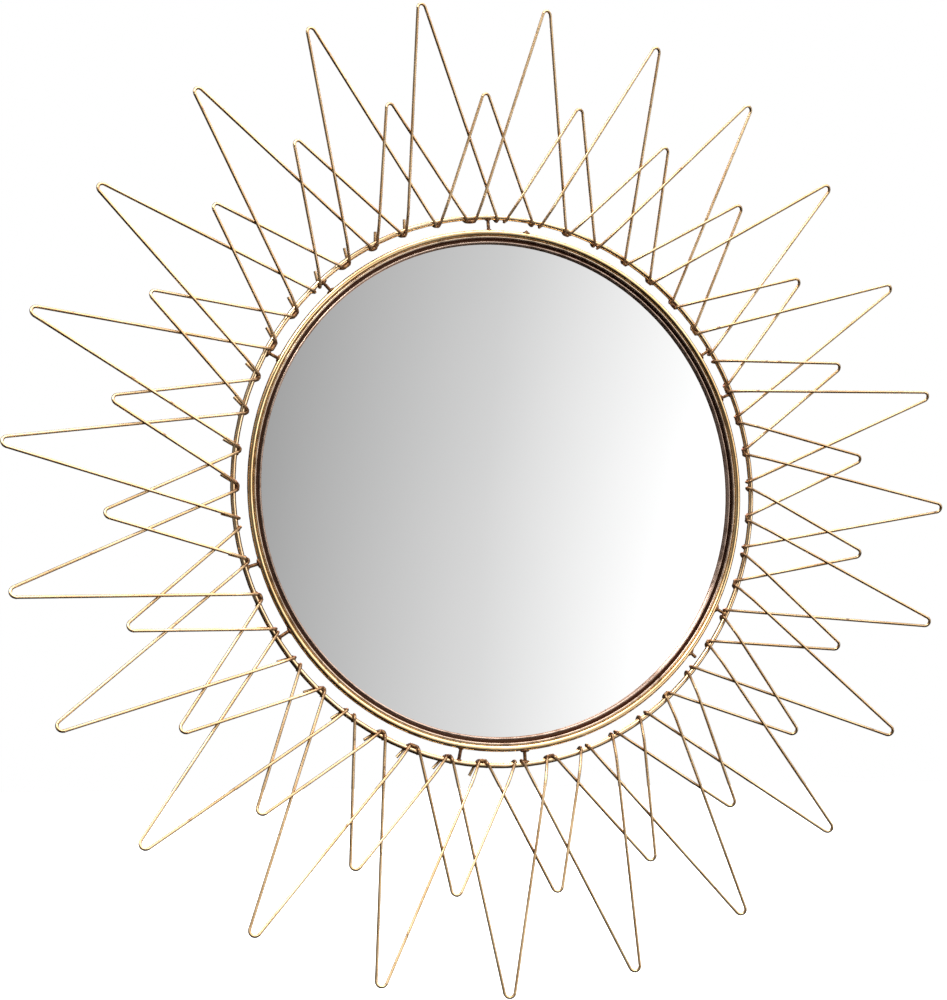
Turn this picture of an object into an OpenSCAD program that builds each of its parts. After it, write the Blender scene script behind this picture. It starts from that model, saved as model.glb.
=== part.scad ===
// Sunburst wall mirror: a round mirror in a shallow metal tray, a wire ring pegged round
// the tray, and forty-eight hairpin wire rays whose hooked ends hang on that ring.
// Row frame: X to the viewer's right, Z up, Y into the wall. The wall is the plane y = 0,
// the origin is on the mirror's axis, and the front faces -Y.
// Every module below is drawn lying down: x right, y up, z forward from the wall.

/* [Rays] */
// how far a long ray reaches past the ring it hangs on
long_reach = 191; // [150:1:300]
// how far a short ray reaches past the ring
short_reach = 111; // [90:1:200]
// thickness of the ray wire
wire_d = 2.7; // [1.6:0.1:4]
// inside radius of the bend at a ray's tip
tip_bend_r = 3.0; // [1.5:0.1:8]
// how far the rays lean forward off the wall, in degrees
ray_lift = 13; // [4:0.1:20]
// room between two wires that cross
layer_gap = 0.6; // [0.2:0.1:3]
// distance between the two hooks that share a place on the ring
hook_pitch = 9.6; // [9:0.1:14]
// length of the wire tail behind the ring, on the hooks where it was left long
tail_long = 12; // [6:0.5:20]
// length of the tail on the other hooks, where it was cut short
tail_short = 3; // [2:0.5:5]
// one step of a long ray's lean from its even place, in degrees
lean_step = 0.25; // [0:0.05:0.25]
// distance from the ring to the small bend that lifts a front leg
shoulder_run = 15; // [10:0.5:20]

/* [Rings] */
// radius of the bead ring around the mirror
bead_r = 243.8; // [200:0.1:320]
// distance from the bead ring to the wire ring that carries the rays
ring_gap = 15.2; // [12:0.1:20]
// thickness of the wire ring's rod
ring_rod_d = 4.8; // [4:0.1:8]
// thickness of the bead ring's rod
bead_rod_d = 5.5; // [4:0.1:8]
// thickness of the pegs between the two rings
peg_d = 3.2; // [2:0.1:5]
// length of the peg that stops short of the ring
short_peg = 6.5; // [2:0.5:7]
// height of the stump where a peg has broken off
peg_stump = 2; // [1.8:0.1:4]

/* [Mirror] */
// width of the metal rim, from the glass that can be seen to the bead ring
rim_w = 10; // [8:0.1:16]
// thickness of the mirror glass
glass_t = 4; // [2:0.5:6]
// sheet thickness of the tray
tray_t = 1; // [0.6:0.1:2]
// glass front behind the ring plane
glass_recess = 4; // [3.5:0.1:10]
// thickness of the backing board
board_t = 3; // [2:0.5:6]
// thickness of the soft pad between glass and board
pad_t = 1; // [0.5:0.1:3]

/* [Back] */
// height of the wall bumpers, from the backing board to the wall
bumper_t = 8; // [7.5:0.5:20]
// diameter of the wall bumpers
bumper_d = 16; // [8:1:30]
// distance between the two hanging rings
hanger_span = 300; // [150:5:360]
// height of the hanging rings' pivots above the mirror's centre
hanger_rise = 120; // [40:5:160]
// width of a hanger strap
strap_w = 12; // [8:0.5:18]
// thickness of a hanger strap
strap_t = 1.2; // [0.8:0.1:2]
// thickness of a hanging ring's wire
dring_d = 3; // [2:0.1:4]

/* [Hidden] */
// running clearance of the hanging rings in their straps
run_fit = 0.08;
// clearance between pieces that only touch
fit = 0.04;
tray_fit = 0.6;
wire_r = wire_d / 2;
rod_r = ring_rod_d / 2;
bead_rod_r = bead_rod_d / 2;
peg_r = peg_d / 2;
ray_pitch = 15;
// lean of each long ray in lean steps, clockwise from the top: the rays are bent and set by hand
leans = [2, 2, -1, -2, 0, 0, -1, -1, -1, -2, -1, -1, 1, 1, 2, 2, 2, 0, 2, -2, -1, 1, 2, -2];
// the left hooks of the rays between these clock angles have long tails
tails_from = 190;
tails_to = 350;
// clock angles of the pegs that bridge the two rings, of the short one and of the stump
peg_angles = [-7, 54.2, 65.2, 116, 174.5, 189, 235, 250.2, 294.2, 313];
short_peg_angle = 128;
stump_angle = 2;
ring_r = bead_r + ring_gap;
sight_r = bead_r - rim_w;
long_tip_r = ring_r + long_reach;
short_tip_r = ring_r + short_reach;

// stack, measured forward from the wall
board_z = bumper_t;
pad_z = board_z + board_t;
glass_z = pad_z + pad_t;
lip_z = glass_z + glass_t + fit;
ring_z = lip_z - fit + glass_recess;

// tray: two rolled edges, the wall between bead and groove, and the lip on the glass
roll_r = 1.3;
inner_roll_r = 1.1;
tray_r = bead_r - bead_rod_r - fit - roll_r;
tray_in = tray_r - tray_t;
inner_roll_x = sight_r + 1.2;
inner_roll_z = ring_z - 1.8;
groove_z = lip_z;
glass_r = tray_in - tray_fit;
tab_n = 8;
tab_deg = 4;
tab_reach = 12;

// ray: bend radius of the wire's centre line, and the half angle between its hooks
bend_r = tip_bend_r + wire_r;
hook_half = 0.75 * ray_pitch - asin(hook_pitch / 2 / ring_r);
foot_u = ring_r * cos(hook_half);
foot_v = ring_r * sin(hook_half);
seat_r = rod_r + wire_r + fit;
layer = wire_d + layer_gap;
shoulder_r = 40;
joint_scale = 1.06;
// a straight wire stops this far short of its joints, inside their spheres
end_gap = 0.15 * wire_r;
// a joint's sphere is turned about the wire, so that its seam lies on no other seam
seam_turn = 37;

function bend_u(tip_r) = tip_r - wire_r - bend_r;
function foot_far(tip_r) = norm([bend_u(tip_r) - foot_u, foot_v]);
// angle between a leg and the ray's axis, seen from the front
function splay(tip_r) = atan2(foot_v, bend_u(tip_r) - foot_u) - asin(bend_r / foot_far(tip_r));
function leg_run(tip_r) = sqrt(pow(foot_far(tip_r), 2) - bend_r * bend_r);
// the hook's plane is skewed to the ring, so its bend is wider than the seat
function hook_r(tip_r) = seat_r / cos(splay(tip_r) + hook_half);
function tip_u(tip_r) = bend_u(tip_r) + bend_r * sin(splay(tip_r));
function tip_h(tip_r) = seat_r + (tip_u(tip_r) - foot_u) * tan(ray_lift);
// slope of a line that leaves the hook's circle and reaches a point
function slope_to(run, rise, r) = atan2(rise, run) - asin(r / norm([run, rise]));

// straight wire in the plane, from a point along a heading
module rod(from, heading, len) {
  translate(from) rotate([0, 0, heading]) rotate([0, 90, 0]) translate([0, 0, end_gap])
    cylinder(r = wire_r, h = len - 2 * end_gap, $fn = 48);
}

// rounded join between two lengths of wire, with its poles along the wire
module joint(at, heading) {
  translate(at) rotate([0, 0, heading]) rotate([0, 90, 0]) rotate([0, 0, seam_turn])
    sphere(r = wire_r * joint_scale, $fn = 48);
}

// bent wire in the plane, round a centre
module bend(centre, r, start, stop) {
  translate(centre) rotate([0, 0, start])
    rotate_extrude(angle = stop - start, $fn = 96) translate([r, 0]) circle(r = wire_r, $fn = 48);
}

// one leg, drawn in the upright plane that holds it: x outward along the leg, y forward.
// A lifted leg takes a shoulder bend near the ring, so that it passes in front of its neighbours.
module leg_wire(tip_r, tail, lifted) {
  r = hook_r(tip_r);
  run = leg_run(tip_r);
  low = slope_to(run, tip_h(tip_r), r);
  rise = tip_h(tip_r) + (lifted ? layer : 0);
  knee_x = shoulder_run;
  knee_y = r / cos(low) + knee_x * tan(low) + layer;
  first = lifted ? slope_to(knee_x, knee_y, r) : low;
  second = lifted ? atan2(rise - knee_y, run - knee_x) : low;
  inset = shoulder_r * tan((first - second) / 2);
  foot = [-r * sin(first), r * cos(first)];
  to_knee = norm([knee_x, knee_y] - foot) - inset;
  to_tip = norm([run, rise] - [knee_x, knee_y]) - inset;
  rod([0, -r], 0, tail);
  joint([0, -r], 0);
  bend([0, 0], r, 90 + first, 270);
  joint(foot, first);
  if (lifted) {
    rod(foot, first, to_knee);
    joint([knee_x - inset * cos(first), knee_y - inset * sin(first)], first);
    joint([knee_x + inset * cos(second), knee_y + inset * sin(second)], second);
    bend([knee_x - inset * cos(first) + shoulder_r * sin(first),
          knee_y - inset * sin(first) - shoulder_r * cos(first)],
         shoulder_r, 90 + second, 90 + first);
    rod([knee_x + inset * cos(second), knee_y + inset * sin(second)], second, to_tip);
  } else {
    rod(foot, first, norm([run, rise] - foot));
  }
}

module leg(tip_r, tail, side) {
  translate([side * foot_v, foot_u, 0])
    rotate([0, 0, 90 + side * splay(tip_r)]) rotate([90, 0, 0]) leg_wire(tip_r, tail, side < 0);
}

// a hairpin ray at 12 o'clock, on the ring plane; its left leg lies in front and has its own tail
module ray(tip_r, tail) {
  b = splay(tip_r);
  half = bend_r * cos(b);
  roll = atan2(layer, 2 * half);
  arc_r = norm([half, layer / 2]) / cos(b);
  tilt = atan(tan(ray_lift) * cos(roll));
  leg(tip_r, tail_short, 1);
  leg(tip_r, tail, -1);
  translate([0, tip_u(tip_r), tip_h(tip_r) + layer / 2]) rotate([tilt, roll, 0])
    bend([0, -arc_r * sin(b)], arc_r, b, 180 - b);
  for (side = [-1, 1])
    translate([side * half, tip_u(tip_r), tip_h(tip_r) + (side < 0 ? layer : 0)])
      rotate([0, 0, 90 + side * b]) rotate([90, 0, 0]) joint([0, 0], ray_lift);
}

module on_wall() { rotate([90, 0, 0]) children(); }
module at_clock(deg) { rotate([0, 0, -deg]) children(); }

function tail_at(deg) = deg > tails_from && deg < tails_to ? tail_long : tail_short;

// a ray that points at a clock angle, turned by its lean
module ray_at(deg, lean, tip_r) {
  on_wall() at_clock(deg + lean) translate([0, 0, ring_z]) ray(tip_r, tail_at(deg));
}

module long_ray(i) {
  color([0.60, 0.49, 0.33]) ray_at((i - 1) * ray_pitch, leans[i - 1] * lean_step, long_tip_r);
}

module short_ray(i) {
  color([0.62, 0.51, 0.35]) ray_at((i - 0.5) * ray_pitch, 0, short_tip_r);
}

module hoop(r, rod) {
  translate([0, 0, ring_z]) rotate_extrude($fn = 360) translate([r, 0]) circle(r = rod, $fn = 48);
}

module support_ring() { color([0.63, 0.52, 0.36]) on_wall() hoop(ring_r, rod_r); }

module bead_ring() { color([0.72, 0.60, 0.38]) on_wall() hoop(bead_r, bead_rod_r); }

// a peg with flared brazed ends, standing outward from the bead ring
module peg(len) {
  foot = 1.6;
  cylinder(r1 = peg_r + 1, r2 = peg_r, h = foot, $fn = 48);
  cylinder(r = peg_r, h = len, $fn = 48);
}

// a peg that bridges both rings: its ends are cut to the rods they are brazed to
module full_peg() {
  start = bead_r + bead_rod_r - 0.8;
  len = ring_r - rod_r + 0.8 - start;
  difference() {
    translate([0, start, ring_z]) rotate([-90, 0, 0]) {
      peg(len);
      translate([0, 0, len]) mirror([0, 0, 1]) peg(len / 2);
    }
    hoop(bead_r, bead_rod_r + fit);
    hoop(ring_r, rod_r + fit);
  }
}

// a peg that ends in the gap, with a rounded end
module stub_peg(len) {
  start = bead_r + bead_rod_r - 0.8;
  difference() {
    translate([0, start, ring_z]) rotate([-90, 0, 0]) {
      peg(len);
      translate([0, 0, len]) sphere(r = peg_r * 1.06, $fn = 48);
    }
    hoop(bead_r, bead_rod_r + fit);
  }
}

module ring_pegs() {
  color([0.55, 0.44, 0.28]) on_wall() {
    for (a = peg_angles) at_clock(a) full_peg();
    at_clock(short_peg_angle) stub_peg(short_peg);
    at_clock(stump_angle) stub_peg(peg_stump);
  }
}

// section of the tray, right of the axis: x outward, y forward
module tray_section() {
  translate([tray_r, ring_z - 0.3]) circle(r = roll_r, $fn = 48);
  translate([inner_roll_x, inner_roll_z]) circle(r = inner_roll_r, $fn = 48);
  translate([tray_in, board_z - tray_t]) square([tray_t, ring_z - board_z + tray_t]);
  translate([inner_roll_x - 0.8, groove_z]) square([tray_in - inner_roll_x + 1, tray_t]);
  polygon([[sight_r, lip_z], [sight_r + 1.3, lip_z],
           [inner_roll_x + 0.7, inner_roll_z], [inner_roll_x - 0.6, inner_roll_z]]);
}

module mirror_tray() {
  color([0.46, 0.37, 0.26]) on_wall() {
    rotate_extrude($fn = 360) tray_section();
    for (i = [0 : tab_n - 1])
      rotate([0, 0, (i + 0.5) * 360 / tab_n - tab_deg / 2])
        rotate_extrude(angle = tab_deg, $fn = 360)
          translate([tray_r - tab_reach, board_z - tray_t - fit]) square([tab_reach - tray_t / 2, tray_t]);
  }
}

module disc(r, z, t) { translate([0, 0, z]) cylinder(r = r, h = t, $fn = 360); }

module mirror_glass() { color([0.85, 0.87, 0.88]) on_wall() disc(glass_r, glass_z, glass_t); }

module soft_pad() { color([0.20, 0.20, 0.20]) on_wall() disc(glass_r - 4, pad_z, pad_t); }

// one hanger strap and its two screws, measured down from its pivot
strap_len = 39;
screw_drop = [24, 34];
screw_r = 1.6;
head_r = 3;
head_h = 1.7;
strap_z = board_z - strap_t;
bar_r = dring_d / 2;
loop_in = bar_r + run_fit;
loop_out = loop_in + strap_t;
loop_z = board_z - loop_out - fit;

module at_hangers() { for (side = [-1, 1]) translate([side * hanger_span / 2, hanger_rise, 0]) children(); }

module screw_holes(r, from, to) {
  for (d = screw_drop) translate([0, -d, from]) cylinder(r = r, h = to - from, $fn = 48);
}

module backing_board() {
  color([0.42, 0.31, 0.20]) on_wall() difference() {
    disc(glass_r - 0.4, board_z, board_t);
    at_hangers() screw_holes(screw_r + fit, board_z - 1, pad_z - 0.4);
  }
}

module hanger_straps() {
  color([0.70, 0.66, 0.55]) on_wall() at_hangers() difference() {
    union() {
      translate([-strap_w / 2, -strap_len, strap_z]) cube([strap_w, strap_len, strap_t - fit]);
      translate([-strap_w / 2, 0, loop_z]) rotate([0, 90, 0]) cylinder(r = loop_out, h = strap_w, $fn = 96);
    }
    translate([-strap_w / 2 - 1, 0, loop_z]) rotate([0, 90, 0]) cylinder(r = loop_in, h = strap_w + 2, $fn = 96);
    screw_holes(screw_r + 0.3, strap_z - 1, board_z + 1);
  }
}

// screws that hold the straps: domed heads on the wall side
module hanger_screws() {
  color([0.72, 0.70, 0.64]) on_wall() at_hangers() for (d = screw_drop) translate([0, -d, 0]) {
    translate([0, 0, strap_z - fit - head_h]) cylinder(r1 = head_r - 0.9, r2 = head_r, h = head_h, $fn = 64);
    translate([0, 0, strap_z - fit - 0.1]) cylinder(r = screw_r, h = board_t + strap_t - 0.6, $fn = 48);
  }
}

// hanging ring: a D of wire, its bar in the strap's loop and its bow hanging down
dring_half = 11;
dring_corner = 3;
dring_side = 4;

module dwire(from, to, len) {
  translate(from) rotate([0, 0, to]) rotate([0, 90, 0]) cylinder(r = bar_r, h = len, $fn = 64);
}

module dbend(centre, r, start, stop) {
  translate(centre) rotate([0, 0, start])
    rotate_extrude(angle = stop - start, $fn = 96) translate([r, 0]) circle(r = bar_r, $fn = 64);
}

module hanging_ring(side) {
  w = dring_half;
  c = dring_corner;
  low = -c - dring_side;
  color([0.74, 0.70, 0.58]) on_wall() translate([side * hanger_span / 2, hanger_rise, loop_z]) {
    dwire([-w + c, 0], 0, 2 * (w - c));
    dbend([w - c, -c], c, 0, 90);
    dbend([-w + c, -c], c, 90, 180);
    dwire([w, low], 90, dring_side);
    dwire([-w, low], 90, dring_side);
    dbend([0, low], w, 180, 360);
  }
}

module ring_left() { hanging_ring(-1); }
module ring_right() { hanging_ring(1); }

module wall_bumpers() {
  color([0.12, 0.12, 0.12]) on_wall() for (a = [45 : 90 : 315])
    at_clock(a) translate([0, sight_r - 18, 0]) {
      cylinder(r = bumper_d / 2, h = bumper_t - fit - 1, $fn = 96);
      translate([0, 0, bumper_t - fit - 1.2]) cylinder(r = bumper_d / 2 + 1.2, h = 1.2, $fn = 96);
    }
}

// the sub-part to draw, or "all"

support_ring();
bead_ring();
ring_pegs();
mirror_tray();
mirror_glass();
soft_pad();
backing_board();
hanger_straps();
hanger_screws();
ring_left();
ring_right();
wall_bumpers();
long_ray(1);  // long_ray_01
long_ray(2);  // long_ray_02
long_ray(3);  // long_ray_03
long_ray(4);  // long_ray_04
long_ray(5);  // long_ray_05
long_ray(6);  // long_ray_06
long_ray(7);  // long_ray_07
long_ray(8);  // long_ray_08
long_ray(9);  // long_ray_09
long_ray(10);  // long_ray_10
long_ray(11);  // long_ray_11
long_ray(12);  // long_ray_12
long_ray(13);  // long_ray_13
long_ray(14);  // long_ray_14
long_ray(15);  // long_ray_15
long_ray(16);  // long_ray_16
long_ray(17);  // long_ray_17
long_ray(18);  // long_ray_18
long_ray(19);  // long_ray_19
long_ray(20);  // long_ray_20
long_ray(21);  // long_ray_21
long_ray(22);  // long_ray_22
long_ray(23);  // long_ray_23
long_ray(24);  // long_ray_24
short_ray(1);  // short_ray_01
short_ray(2);  // short_ray_02
short_ray(3);  // short_ray_03
short_ray(4);  // short_ray_04
short_ray(5);  // short_ray_05
short_ray(6);  // short_ray_06
short_ray(7);  // short_ray_07
short_ray(8);  // short_ray_08
short_ray(9);  // short_ray_09
short_ray(10);  // short_ray_10
short_ray(11);  // short_ray_11
short_ray(12);  // short_ray_12
short_ray(13);  // short_ray_13
short_ray(14);  // short_ray_14
short_ray(15);  // short_ray_15
short_ray(16);  // short_ray_16
short_ray(17);  // short_ray_17
short_ray(18);  // short_ray_18
short_ray(19);  // short_ray_19
short_ray(20);  // short_ray_20
short_ray(21);  // short_ray_21
short_ray(22);  // short_ray_22
short_ray(23);  // short_ray_23
short_ray(24);  // short_ray_24
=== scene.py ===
"""Looks of the sunburst wall mirror: materials, brazing, screw heads, floor, light and camera."""
import bpy, bmesh, math, random
from mathutils import Matrix, Vector, noise


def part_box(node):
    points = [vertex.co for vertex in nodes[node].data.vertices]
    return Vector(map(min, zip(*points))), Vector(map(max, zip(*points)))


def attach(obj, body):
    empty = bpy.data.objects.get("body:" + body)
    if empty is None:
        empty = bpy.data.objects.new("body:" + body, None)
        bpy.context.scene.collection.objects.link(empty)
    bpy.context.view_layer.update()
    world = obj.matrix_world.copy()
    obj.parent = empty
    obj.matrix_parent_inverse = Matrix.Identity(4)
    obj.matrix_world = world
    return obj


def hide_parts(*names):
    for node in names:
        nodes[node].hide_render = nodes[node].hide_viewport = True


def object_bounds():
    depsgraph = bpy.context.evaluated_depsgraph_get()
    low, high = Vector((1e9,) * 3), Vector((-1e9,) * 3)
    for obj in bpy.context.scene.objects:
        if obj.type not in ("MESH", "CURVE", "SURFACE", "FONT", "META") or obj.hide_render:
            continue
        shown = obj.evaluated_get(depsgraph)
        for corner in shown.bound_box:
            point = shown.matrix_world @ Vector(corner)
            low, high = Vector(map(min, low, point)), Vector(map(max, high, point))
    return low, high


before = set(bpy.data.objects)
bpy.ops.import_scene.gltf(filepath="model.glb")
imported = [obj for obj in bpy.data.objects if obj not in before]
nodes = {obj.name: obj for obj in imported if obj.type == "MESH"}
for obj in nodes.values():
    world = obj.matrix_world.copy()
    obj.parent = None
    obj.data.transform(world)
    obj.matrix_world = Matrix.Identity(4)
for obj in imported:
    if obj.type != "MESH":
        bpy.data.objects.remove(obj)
cad_low, cad_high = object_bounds()

# ---------------------------------------------------------------- sizes, from the frame
MM = 0.001
ring_low, ring_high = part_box("support_ring")
bead_low, bead_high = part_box("bead_ring")
screw_low, screw_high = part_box("hanger_screws")
RING_Y = (ring_low.y + ring_high.y) / 2
RING_ROD = (ring_high.y - ring_low.y) / 2
RING_R = ring_high.x - RING_ROD
BEAD_ROD = (bead_high.y - bead_low.y) / 2
BEAD_R = bead_high.x - BEAD_ROD
# half the ray wire's thickness, which no box in the frame gives
WIRE_ROD = 1.35 * MM
RAYS = [name for name in nodes if name.startswith(("long_ray", "short_ray"))]


def clock_angle(point):
    """Clock angle of a point, in degrees from the top, seen from the front."""
    return math.degrees(math.atan2(point.x, point.z)) % 360


def axes_at(angle):
    """Outward, clockwise and forward directions at a clock angle."""
    a = math.radians(angle)
    return Vector((math.sin(a), 0, math.cos(a))), Vector((math.cos(a), 0, -math.sin(a))), Vector((0, -1, 0))


def groups(angles, gap):
    """Middles of the runs of sorted angles that lie closer together than a gap."""
    runs = [[angles[0]]]
    for angle in angles[1:]:
        if angle - runs[-1][-1] > gap:
            runs.append([])
        runs[-1].append(angle)
    return [(run[0] + run[-1]) / 2 for run in runs]


def places(names, inner, outer, gap=1.0):
    """Clock angles at which these nodes cross the round band between two radii."""
    angles = []
    for name in names:
        near = [v.co for v in nodes[name].data.vertices if inner < math.hypot(v.co.x, v.co.z) < outer]
        angles += groups(sorted(clock_angle(co) for co in near), gap)
    return sorted(angles)


# ---------------------------------------------------------------- camera
VIEW_AZIMUTH = -17.98
VIEW_ELEVATION = -6.48
VIEW_ROLL = 2.14
VIEW_DISTANCE = 1.1664
VIEW_TARGET = Vector((-0.0402, RING_Y, 0.0251))
LENS_MM = 44.8
SHIFT_RIGHT = 0.0034
SHIFT_UP = -0.0435


def add_camera():
    """The photograph's viewpoint, from a camera fitted to the rings."""
    a, e = math.radians(VIEW_AZIMUTH), math.radians(VIEW_ELEVATION)
    back = Vector((math.sin(a) * math.cos(e), -math.cos(a) * math.cos(e), math.sin(e)))
    data = bpy.data.cameras.new("camera")
    data.lens = LENS_MM
    data.sensor_width = 36
    data.shift_x = SHIFT_RIGHT
    data.shift_y = SHIFT_UP
    camera = bpy.data.objects.new("camera", data)
    turn = (-back).to_track_quat("-Z", "Y").to_matrix().to_4x4()
    roll = Matrix.Rotation(math.radians(VIEW_ROLL), 4, "Z")
    camera.matrix_world = Matrix.Translation(VIEW_TARGET + back * VIEW_DISTANCE) @ turn @ roll
    bpy.context.scene.collection.objects.link(camera)
    bpy.context.scene.camera = camera


# ---------------------------------------------------------------- material helpers
def linear(r, g, b):
    """Colour from 0-255 screen values."""
    return tuple(((c / 255 + 0.055) / 1.055) ** 2.4 if c > 10 else c / 255 / 12.92 for c in (r, g, b)) + (1,)


class Surface:
    """A Principled material with a few node shortcuts. Places are in the row frame, in metres."""

    def __init__(self, name):
        self.material = bpy.data.materials.new(name)
        self.material.use_nodes = True
        self.tree = self.material.node_tree
        self.tree.nodes.clear()
        self.shader = self.tree.nodes.new("ShaderNodeBsdfPrincipled")
        out = self.tree.nodes.new("ShaderNodeOutputMaterial")
        self.link(self.shader.outputs["BSDF"], out.inputs["Surface"])
        self.place = self.tree.nodes.new("ShaderNodeTexCoord").outputs["Object"]

    def link(self, a, b):
        self.tree.links.new(a, b)

    def feed(self, socket, value):
        """Link another node's output to the socket, or set the socket to a fixed value."""
        if isinstance(value, bpy.types.NodeSocket):
            self.link(value, socket)
        else:
            socket.default_value = value

    def put(self, **values):
        for name, value in values.items():
            self.shader.inputs[name.replace("_", " ")].default_value = value

    def noise(self, size, detail=4, rough=0.55):
        """Noise whose features are about `size` metres across."""
        node = self.tree.nodes.new("ShaderNodeTexNoise")
        node.inputs["Scale"].default_value = 1 / size
        node.inputs["Detail"].default_value = detail
        node.inputs["Roughness"].default_value = rough
        self.link(self.place, node.inputs["Vector"])
        return node.outputs["Fac"]

    def ramp(self, value, *stops):
        """Colour ramp; each stop is (position, colour or number)."""
        node = self.tree.nodes.new("ShaderNodeValToRGB")
        while len(node.color_ramp.elements) < len(stops):
            node.color_ramp.elements.new(0.5)
        for element, (at, colour) in zip(node.color_ramp.elements, stops):
            element.position = at
            element.color = colour if isinstance(colour, tuple) else (colour, colour, colour, 1)
        self.link(value, node.inputs["Fac"])
        return node.outputs["Color"]

    def mix(self, factor, a, b):
        """Colour a where the factor is 0, colour b where it is 1."""
        node = self.tree.nodes.new("ShaderNodeMix")
        node.data_type = "RGBA"
        for socket, value in zip((node.inputs["Factor"], node.inputs[6], node.inputs[7]), (factor, a, b)):
            self.feed(socket, value)
        return node.outputs[2]

    def math(self, operation, a, b=0.0):
        """One arithmetic step; a and b are numbers or other nodes' outputs."""
        node = self.tree.nodes.new("ShaderNodeMath")
        node.operation = operation
        for socket, value in zip(node.inputs, (a, b)):
            self.feed(socket, value)
        return node.outputs[0]

    def span(self, value, low, high):
        """The value's place between low and high, as 0 to 1."""
        return self.math("DIVIDE", self.math("SUBTRACT", value, low), high - low)

    def radius(self):
        """Distance from the mirror's axis, in metres."""
        split = self.tree.nodes.new("ShaderNodeSeparateXYZ")
        self.link(self.place, split.inputs["Vector"])
        x2 = self.math("POWER", split.outputs["X"], 2.0)
        z2 = self.math("POWER", split.outputs["Z"], 2.0)
        return self.math("SQRT", self.math("ADD", x2, z2))

    def colour(self, value):
        self.link(value, self.shader.inputs["Base Color"])

    def rough(self, value):
        self.link(value, self.shader.inputs["Roughness"])

    def metal(self, value):
        self.link(value, self.shader.inputs["Metallic"])

    def bump(self, height, distance, strength=1.0):
        node = self.tree.nodes.new("ShaderNodeBump")
        node.inputs["Strength"].default_value = strength
        node.inputs["Distance"].default_value = distance
        self.link(height, node.inputs["Height"])
        self.link(node.outputs["Normal"], self.shader.inputs["Normal"])


# ---------------------------------------------------------------- materials
# the band round the support ring in which the wires get painted shade near the hooks
HOOK_SHADE_ZONE = (RING_R - 6 * MM, RING_R + 9 * MM)
# tarnished plating turns red-brown where it is seen at a low angle
EDGE_TINT = (0.50, 0.28, 0.20, 1)
# width of the tray's rolled edges and the groove between them
TRAY_EDGE = 8.5 * MM
# where each band of that edge starts and ends, in mm in from the tray's rim; the ridges get painted
# highlights and the groove painted shade
INNER_RIDGE = (6.8, 5.2)
GROOVE = (4.6, 2.7)
OUTER_RIDGE = (2.1, 0.8)


def gilt(name, light, mid, dark, shine, spots=0.26, hook_shade=False):
    """Antique gold wash over iron: broad soft changes of tone, a few small spots of wear and, if asked,
    painted shade where the hooks bend round the support ring.
    """
    s = Surface(name)
    wash = s.ramp(s.noise(0.045, detail=2), (0.38, mid), (0.62, light))
    wear_and_hook_shade = s.ramp(s.noise(0.009, detail=2, rough=0.5), (spots, 0.7), (spots + 0.08, 0.0))
    # painted shade: a patchy red-brown darkening of the wire across the band round the support ring, where
    # the hooks bend behind it; it is mixed in with the spots of wear
    if hook_shade:
        near = s.ramp(s.span(s.radius(), *HOOK_SHADE_ZONE), (0.0, 1.0), (0.45, 0.8), (1.0, 0.0))
        patchy = s.ramp(s.noise(0.004, detail=3), (0.30, 0.55), (0.60, 1.0))
        wear_and_hook_shade = s.math("MAXIMUM", wear_and_hook_shade, s.math("MULTIPLY", near, patchy))
    s.colour(s.mix(wear_and_hook_shade, wash, dark))
    s.put(Specular_Tint=EDGE_TINT)
    s.metal(s.ramp(wear_and_hook_shade, (0.0, 1.0), (1.0, 0.7)))
    s.rough(s.ramp(s.noise(0.012, detail=2), (0.3, shine), (0.7, shine + 0.10)))
    s.bump(s.noise(0.010, detail=1), 0.00006, 0.3)
    return s.material


def braze_metal():
    """Rough brown-gold filler, mottled at random in tone."""
    s = Surface("braze")
    tone = s.ramp(s.noise(0.003, detail=5), (0.32, linear(66, 42, 30)), (0.50, linear(112, 78, 52)),
                  (0.68, linear(160, 122, 80)))
    s.colour(tone)
    s.put(Metallic=0.9)
    s.rough(s.ramp(s.noise(0.002), (0.3, 0.34), (0.7, 0.55)))
    s.bump(s.noise(0.0010, detail=5), 0.00025, 0.7)
    return s.material


def tray_metal():
    """Plated sheet coloured in bands by radius: painted highlights on the two rolled ridges, painted shade
    in the groove between them, darker towards the glass, with stains over it.
    """
    s = Surface("tray_sheet")
    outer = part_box("mirror_tray")[1].x
    inner = outer - TRAY_EDGE

    def at(from_rim):
        return 1 - from_rim * MM / TRAY_EDGE

    # painted highlight on the rolled ridges, and painted shade in the groove between them
    pale, groove_shade = linear(186, 162, 144), linear(84, 54, 40)
    ridge_highlights_and_groove_shade = s.ramp(s.span(s.radius(), inner, outer),
                   (0.0, linear(112, 92, 76)),
                   (at(INNER_RIDGE[0]), linear(172, 148, 134)), (at(INNER_RIDGE[1]), pale),
                   (at(GROOVE[0]), groove_shade), (at(GROOVE[1]), groove_shade),
                   (at(OUTER_RIDGE[0]), pale), (at(OUTER_RIDGE[1]), linear(206, 184, 154)))
    stain = s.ramp(s.noise(0.012, detail=4), (0.34, 0.55), (0.50, 0.0))
    s.colour(s.mix(stain, ridge_highlights_and_groove_shade, linear(92, 66, 48)))
    s.put(Metallic=0.95, Specular_Tint=EDGE_TINT)
    s.rough(s.ramp(s.noise(0.006), (0.3, 0.18), (0.8, 0.30)))
    s.bump(s.noise(0.002, detail=3), 0.00005, 0.5)
    return s.material


def mirror_silver():
    """Silvered glass with a barely visible haze."""
    s = Surface("mirror_glass")
    haze = s.noise(0.15, detail=2)
    s.colour(s.ramp(haze, (0.3, (0.925, 0.93, 0.93, 1)), (0.7, (0.94, 0.94, 0.94, 1))))
    s.put(Metallic=1.0)
    s.rough(s.ramp(haze, (0.3, 0.010), (0.7, 0.018)))
    return s.material


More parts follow.
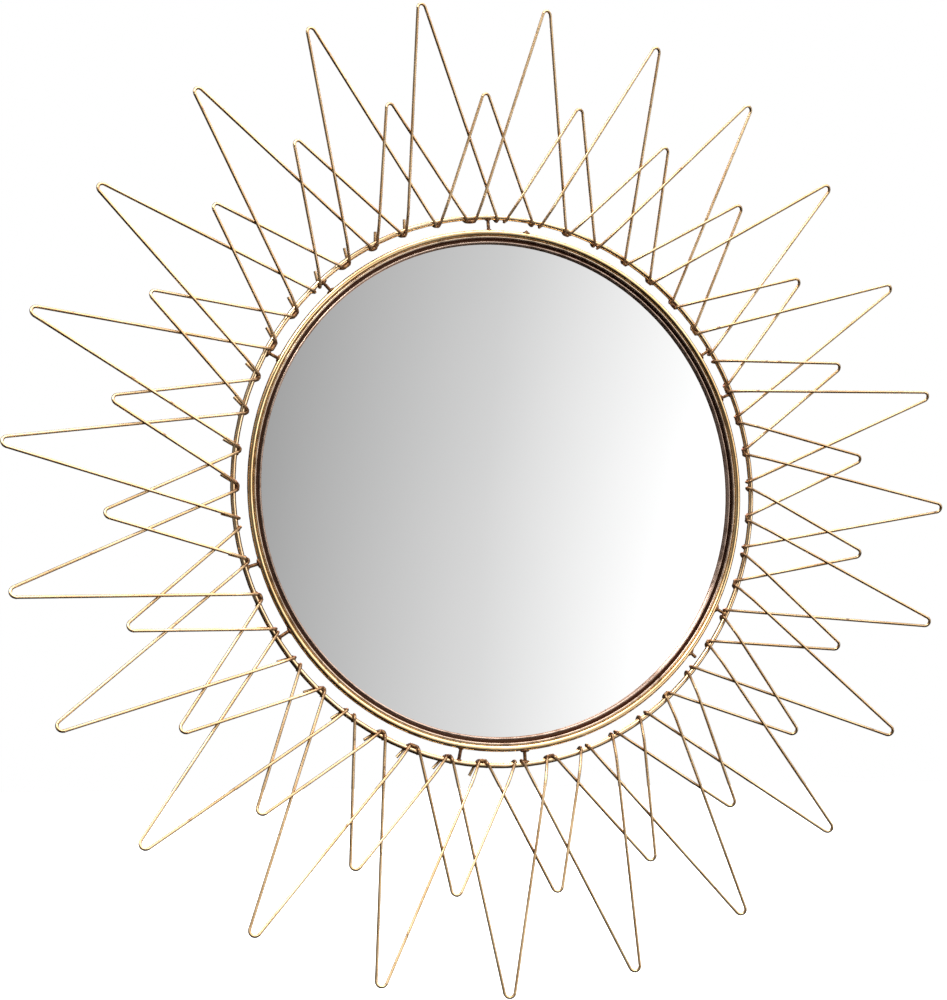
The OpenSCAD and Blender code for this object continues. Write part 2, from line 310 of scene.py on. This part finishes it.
def fibreboard():
    """Brown hardboard: fine flecks over a cloudy ground."""
    s = Surface("fibreboard")
    ground = s.ramp(s.noise(0.06, detail=3), (0.3, linear(122, 86, 56)), (0.7, linear(142, 104, 70)))
    flecks = s.ramp(s.noise(0.0018, detail=6, rough=0.75), (0.40, 1.0), (0.56, 0.0))
    s.colour(s.mix(flecks, ground, linear(92, 62, 40)))
    s.rough(s.ramp(flecks, (0.0, 0.72), (1.0, 0.85)))
    s.bump(s.noise(0.0012, detail=5), 0.0002, 0.5)
    return s.material


def rubber(name, dark, light, grain):
    """Soft dark-grey material; dark and light are its two screen greys."""
    s = Surface(name)
    tones = (0.3, linear(dark, dark, dark)), (0.7, linear(light, light, light))
    s.colour(s.ramp(s.noise(grain, detail=6), *tones))
    s.rough(s.ramp(s.noise(grain * 2), (0.3, 0.72), (0.7, 0.88)))
    s.bump(s.noise(grain, detail=4), 0.0002, 0.4)
    return s.material


def steel(name, light):
    """Zinc-plated steel with a faint yellow cast and small dull patches."""
    s = Surface(name)
    dull = s.ramp(s.noise(0.004, detail=4), (0.35, 1.0), (0.60, 0.0))
    s.colour(s.mix(dull, linear(light, light - 3, light - 14), linear(light - 34, light - 38, light - 50)))
    s.put(Metallic=1.0)
    s.rough(s.ramp(dull, (0.0, 0.26), (1.0, 0.42)))
    s.bump(s.noise(0.0015, detail=3), 0.00005, 0.5)
    return s.material


def paint(node, material):
    """Give a CAD node one material in place of its own."""
    mesh = nodes[node].data
    mesh.materials.clear()
    mesh.materials.append(material)


def paint_object(braze):
    dark = linear(82, 52, 34)
    wire = gilt("ray_wire", linear(226, 194, 150), linear(200, 164, 120), dark, 0.24, hook_shade=True)
    for name in RAYS:
        paint(name, wire)
    paint("support_ring", gilt("ring_rod", linear(238, 208, 166), linear(218, 182, 138), dark, 0.16))
    paint("bead_ring", gilt("bead_rod", linear(240, 208, 158), linear(222, 184, 132), dark, 0.12))
    paint("ring_pegs", braze)
    paint("mirror_tray", tray_metal())
    paint("mirror_glass", mirror_silver())
    paint("backing_board", fibreboard())
    paint("soft_pad", rubber("foam", 34, 52, 0.0012))
    paint("wall_bumpers", rubber("bumper_rubber", 22, 38, 0.0020))
    hanger = steel("hanger_steel", 208)
    for name in ("hanger_straps", "ring_left", "ring_right"):
        paint(name, hanger)


# ---------------------------------------------------------------- brazing
LUMP_ROUGH = 0.30
# places round the ring, counted from the top, at which the two hooks stay apart
OPEN_PLACES = (0, 2, 7, 11, 13, 15, 17, 19, 20, 21, 23, 28, 30, 31, 34, 41, 47)
BRIDGE_STEPS = 10
BRIDGE_SIDES = 12
BRIDGE_BOW = 0.4 * MM
# thickness of a bridge against the wire's, and how much it varies along its length
BRIDGE_FATNESS = 1.32
BRIDGE_UNEVEN = 0.20
BRIDGE_FORWARD = 0.6 * MM
# hooks further apart than this, in degrees, stay unbridged
LONGEST_BRIDGE = 3.2
# half sizes of a lump: outward, along the ring and forward
HOOK_LUMP = (1.1 * MM, 2.1 * MM, 1.7 * MM)
PEG_FOOT_LUMP = (1.3 * MM, 3.2 * MM, 2.3 * MM)
PEG_HEAD_LUMP = (1.5 * MM, 3.0 * MM, 2.2 * MM)


def lump(bm, centre, axes, sizes, seed):
    """A lump of filler: a ball stretched along three directions and roughened."""
    for v in bmesh.ops.create_icosphere(bm, subdivisions=3, radius=1.0)["verts"]:
        swell = 1 + LUMP_ROUGH * noise.noise(v.co * 1.6 + Vector((seed * 3.7, seed * 1.3, 0)))
        v.co = centre + sum((a * c * size * swell for a, c, size in zip(axes, v.co, sizes)), Vector())


def bridge(bm, start, stop, seed):
    """A short bent rod on the ring's inner side, from one hook to its neighbour."""
    rows = []
    for i in range(BRIDGE_STEPS + 1):
        t = i / BRIDGE_STEPS
        out, _, front = axes_at(start + (stop - start) * t)
        centre = out * (RING_R - RING_ROD - WIRE_ROD - BRIDGE_BOW * math.sin(math.pi * t))
        centre += Vector((0, RING_Y, 0)) + front * BRIDGE_FORWARD
        thick = WIRE_ROD * (BRIDGE_FATNESS + BRIDGE_UNEVEN * noise.noise(Vector((seed * 5.1, t * 3, 0))))
        row = []
        for k in range(BRIDGE_SIDES):
            a = 2 * math.pi * k / BRIDGE_SIDES
            row.append(bm.verts.new(centre + (out * math.cos(a) + front * math.sin(a)) * thick))
        rows.append(row)
    for row, after in zip(rows, rows[1:]):
        for k in range(BRIDGE_SIDES):
            n = (k + 1) % BRIDGE_SIDES
            bm.faces.new((row[k], row[n], after[n], after[k]))
    bm.faces.new(rows[0])
    bm.faces.new(reversed(rows[-1]))


def scaled(sizes, factor):
    """The three half sizes, each times a factor."""
    return [size * factor for size in sizes]


def finish_piece(bm, name, material):
    """Turn the mesh into a smooth piece that rides on the frame."""
    bmesh.ops.recalc_face_normals(bm, faces=bm.faces)
    mesh = bpy.data.meshes.new(name)
    bm.to_mesh(mesh)
    bm.free()
    mesh.polygons.foreach_set("use_smooth", [True] * len(mesh.polygons))
    mesh.materials.append(material)
    piece = bpy.data.objects.new(name, mesh)
    bpy.context.scene.collection.objects.link(piece)
    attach(piece, "frame")
    return piece


def add_hook_brazing(material):
    """A dab of filler under every hook, and a thick bridge where two hooks run together."""
    hooks = places(RAYS, RING_R - RING_ROD - 3 * MM, RING_R - RING_ROD - 0.3 * MM)
    chance = random.Random(11)
    bm = bmesh.new()
    for i, (first, second) in enumerate(zip(hooks[0::2], hooks[1::2])):
        if i not in OPEN_PLACES and second - first < LONGEST_BRIDGE:
            bridge(bm, first, second, i)
        for angle in (first, second):
            axes = axes_at(angle + chance.uniform(-0.15, 0.15))
            place = axes[0] * (RING_R - RING_ROD - 0.2 * MM) + Vector((0, RING_Y, 0))
            place += axes[2] * chance.uniform(-0.6, 1.4) * MM
            lump(bm, place, axes, scaled(HOOK_LUMP, chance.uniform(0.9, 1.35)), angle)
    finish_piece(bm, "hook_brazing", material)


def add_peg_brazing(material):
    """Fillets where the pegs meet the two rods, each a little different."""
    pegs = places(["ring_pegs"], BEAD_R + BEAD_ROD + 0.6 * MM, BEAD_R + BEAD_ROD + 2.6 * MM)
    full = places(["ring_pegs"], RING_R - RING_ROD - 1.5 * MM, RING_R - RING_ROD - 0.5 * MM)
    chance = random.Random(5)
    bm = bmesh.new()
    for angle in pegs:
        axes = axes_at(angle)
        foot = axes[0] * (BEAD_R + BEAD_ROD - 0.3 * MM) + Vector((0, RING_Y, 0))
        lump(bm, foot, axes, scaled(PEG_FOOT_LUMP, chance.uniform(0.9, 1.4)), angle)
    for angle in full:
        axes = axes_at(angle)
        head = axes[0] * (RING_R - RING_ROD + 0.2 * MM) + Vector((0, RING_Y, 0))
        lump(bm, head, axes, scaled(PEG_HEAD_LUMP, chance.uniform(0.9, 1.5)), angle + 1)
    finish_piece(bm, "peg_brazing", material)


# ---------------------------------------------------------------- screw heads
HEAD_R = 3.0 * MM
HEAD_RIM = 0.35 * MM
HEAD_H = 1.7 * MM
SHANK_R = 1.6 * MM
SHANK_SHOWN = 2 * MM
CROSS_LONG = 1.55 * MM
CROSS_HALF = 0.36 * MM
CROSS_DEEP = 0.75 * MM
HEAD_RINGS = 18
HEAD_SIDES = 72


def head_height(x, z):
    """How far the head's face stands off its rim at a place: a low dome with a cross recess."""
    r = min(1.0, math.hypot(x, z) / HEAD_R)
    dome = (HEAD_H - HEAD_RIM) * math.sqrt(1 - r * r * 0.98)
    across, along = sorted((abs(x), abs(z)))
    if across < CROSS_HALF and along < CROSS_LONG:
        dome -= CROSS_DEEP * (1 - 0.5 * along / CROSS_LONG)
    return dome


def screw_head(bm, centre, turn):
    """A domed cross-head screw, facing the wall; its shank ends in the board."""
    angles = [2 * math.pi * k / HEAD_SIDES for k in range(HEAD_SIDES)]

    def circle(radius, height):
        """A row of points at a radius; height is worked out from a place on the head."""
        return [bm.verts.new(centre + Vector((radius * math.cos(a + turn),
                                              height(radius * math.cos(a), radius * math.sin(a)),
                                              radius * math.sin(a + turn)))) for a in angles]

    def face(x, z):
        return HEAD_RIM + head_height(x, z)

    top = bm.verts.new(centre + Vector((0, face(0, 0), 0)))
    rows = [circle(HEAD_R * i / HEAD_RINGS, face) for i in range(1, HEAD_RINGS + 1)]
    rows += [circle(HEAD_R, lambda x, z: 0), circle(SHANK_R, lambda x, z: 0),
             circle(SHANK_R, lambda x, z: -SHANK_SHOWN)]
    for k in range(HEAD_SIDES):
        n = (k + 1) % HEAD_SIDES
        bm.faces.new((top, rows[0][k], rows[0][n]))
        for row, after in zip(rows, rows[1:]):
            bm.faces.new((row[k], row[n], after[n], after[k]))
    bm.faces.new(rows[-1])


def add_screws():
    """The four strap screws, each with its cross turned its own way."""
    chance = random.Random(3)
    bm = bmesh.new()
    for x in (screw_low.x + HEAD_R, screw_high.x - HEAD_R):
        for z in (screw_low.z + HEAD_R, screw_high.z - HEAD_R):
            screw_head(bm, Vector((x, screw_high.y - HEAD_H, z)), chance.uniform(0, math.pi / 2))
    screws = finish_piece(bm, "screw_heads", steel("screw_steel", 200))
    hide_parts("hanger_screws")


# ---------------------------------------------------------------- light and floor
FLOOR_DROP = 0.30
FLOOR_HALF = 3.0
FLOOR_GLOW = 0.6


def add_floor():
    """A pale floor under the mirror. It glows a little, so that it meets the backdrop unseen."""
    mesh = bpy.data.meshes.new("floor")
    z, h = cad_low.z - FLOOR_DROP, FLOOR_HALF
    mesh.from_pydata([(-h, -h, z), (h, -h, z), (h, h, z), (-h, h, z)], [], [(0, 1, 2, 3)])
    floor = bpy.data.objects.new("floor", mesh)
    s = Surface("floor")
    s.colour(s.ramp(s.noise(0.4), (0.3, (0.86, 0.86, 0.86, 1)), (0.7, (0.89, 0.89, 0.89, 1))))
    s.put(Roughness=0.9, Emission_Color=(1, 1, 1, 1), Emission_Strength=FLOOR_GLOW)
    mesh.materials.append(s.material)
    bpy.context.scene.collection.objects.link(floor)
    floor.visible_glossy = False


# brightness of the room against the direction looked in, from -1 to 1 on each axis
SIDE_LIGHT = ((-1.0, 0.30), (-0.35, 0.07), (-0.05, 0.10), (0.09, 0.310), (0.147, 0.360), (0.32, 0.640),
              (0.493, 1.070), (0.57, 2.6), (0.73, 2.6), (0.84, 0.2))
BACK_LIGHT = ((-0.25, 1.0), (0.15, 0.10))
CEILING_LIGHT = ((0.36, 0.0), (0.62, 1.9), (0.95, 1.2))
FLOOR_LIGHT = ((-0.42, 0.08), (-0.11, 1.20), (0.11, 1.10), (0.31, 1.0))


def add_world():
    """A white backdrop for the camera, and for the metal a studio that is bright right and above."""
    world = bpy.data.worlds.new("studio")
    bpy.context.scene.world = world
    world.use_nodes = True
    tree = world.node_tree
    tree.nodes.clear()
    new, link = tree.nodes.new, tree.links.new
    split = new("ShaderNodeSeparateXYZ")
    link(new("ShaderNodeTexCoord").outputs["Generated"], split.inputs["Vector"])

    def level(axis, stops):
        shift = new("ShaderNodeMath")
        shift.operation = "MULTIPLY_ADD"
        shift.inputs[1].default_value = shift.inputs[2].default_value = 0.5
        link(split.outputs[axis], shift.inputs[0])
        ramp = new("ShaderNodeValToRGB")
        while len(ramp.color_ramp.elements) < len(stops):
            ramp.color_ramp.elements.new(0.5)
        for element, (at, value) in zip(ramp.color_ramp.elements, stops):
            element.position = (at + 1) / 2
            element.color = (value, value, value, 1)
        link(shift.outputs[0], ramp.inputs["Fac"])
        return ramp.outputs["Color"]

    def join(operation, a, b):
        node = new("ShaderNodeMath")
        node.operation = operation
        link(a, node.inputs[0])
        link(b, node.inputs[1])
        return node.outputs[0]

    lit = join("MULTIPLY", level("X", SIDE_LIGHT), level("Z", FLOOR_LIGHT))
    lit = join("MULTIPLY", join("ADD", lit, level("Z", CEILING_LIGHT)), level("Y", BACK_LIGHT))
    room = new("ShaderNodeBackground")
    link(lit, room.inputs["Color"])
    white = new("ShaderNodeBackground")
    white.inputs["Color"].default_value = (1, 1, 1, 1)
    mix = new("ShaderNodeMixShader")
    link(new("ShaderNodeLightPath").outputs["Is Camera Ray"], mix.inputs["Fac"])
    link(room.outputs[0], mix.inputs[1])
    link(white.outputs[0], mix.inputs[2])
    link(mix.outputs[0], new("ShaderNodeOutputWorld").inputs["Surface"])


def add_light(name, place, size, watts, aim=(0, 0, 0)):
    data = bpy.data.lights.new(name, "AREA")
    data.shape = "RECTANGLE"
    data.size, data.size_y = size
    data.energy = watts
    lamp = bpy.data.objects.new(name, data)
    lamp.location = place
    lamp.rotation_mode = "QUATERNION"
    lamp.rotation_quaternion = (Vector(aim) - Vector(place)).to_track_quat("-Z", "Y")
    bpy.context.scene.collection.objects.link(lamp)


def add_lights():
    """Soft boxes: front left, overhead, and one behind for the back's own views."""
    add_light("key", (-1.6, -1.8, 2.2), (1.2, 1.2), 60)
    add_light("top", (0.3, -0.6, 2.4), (2.0, 1.0), 40)
    add_light("back", (0.8, 2.2, 1.6), (1.5, 1.5), 90)


add_camera()
brazing = braze_metal()
paint_object(brazing)
add_hook_brazing(brazing)
add_peg_brazing(brazing)
add_screws()
add_floor()
add_world()
add_lights()
bpy.context.scene.view_settings.view_transform = "Standard"
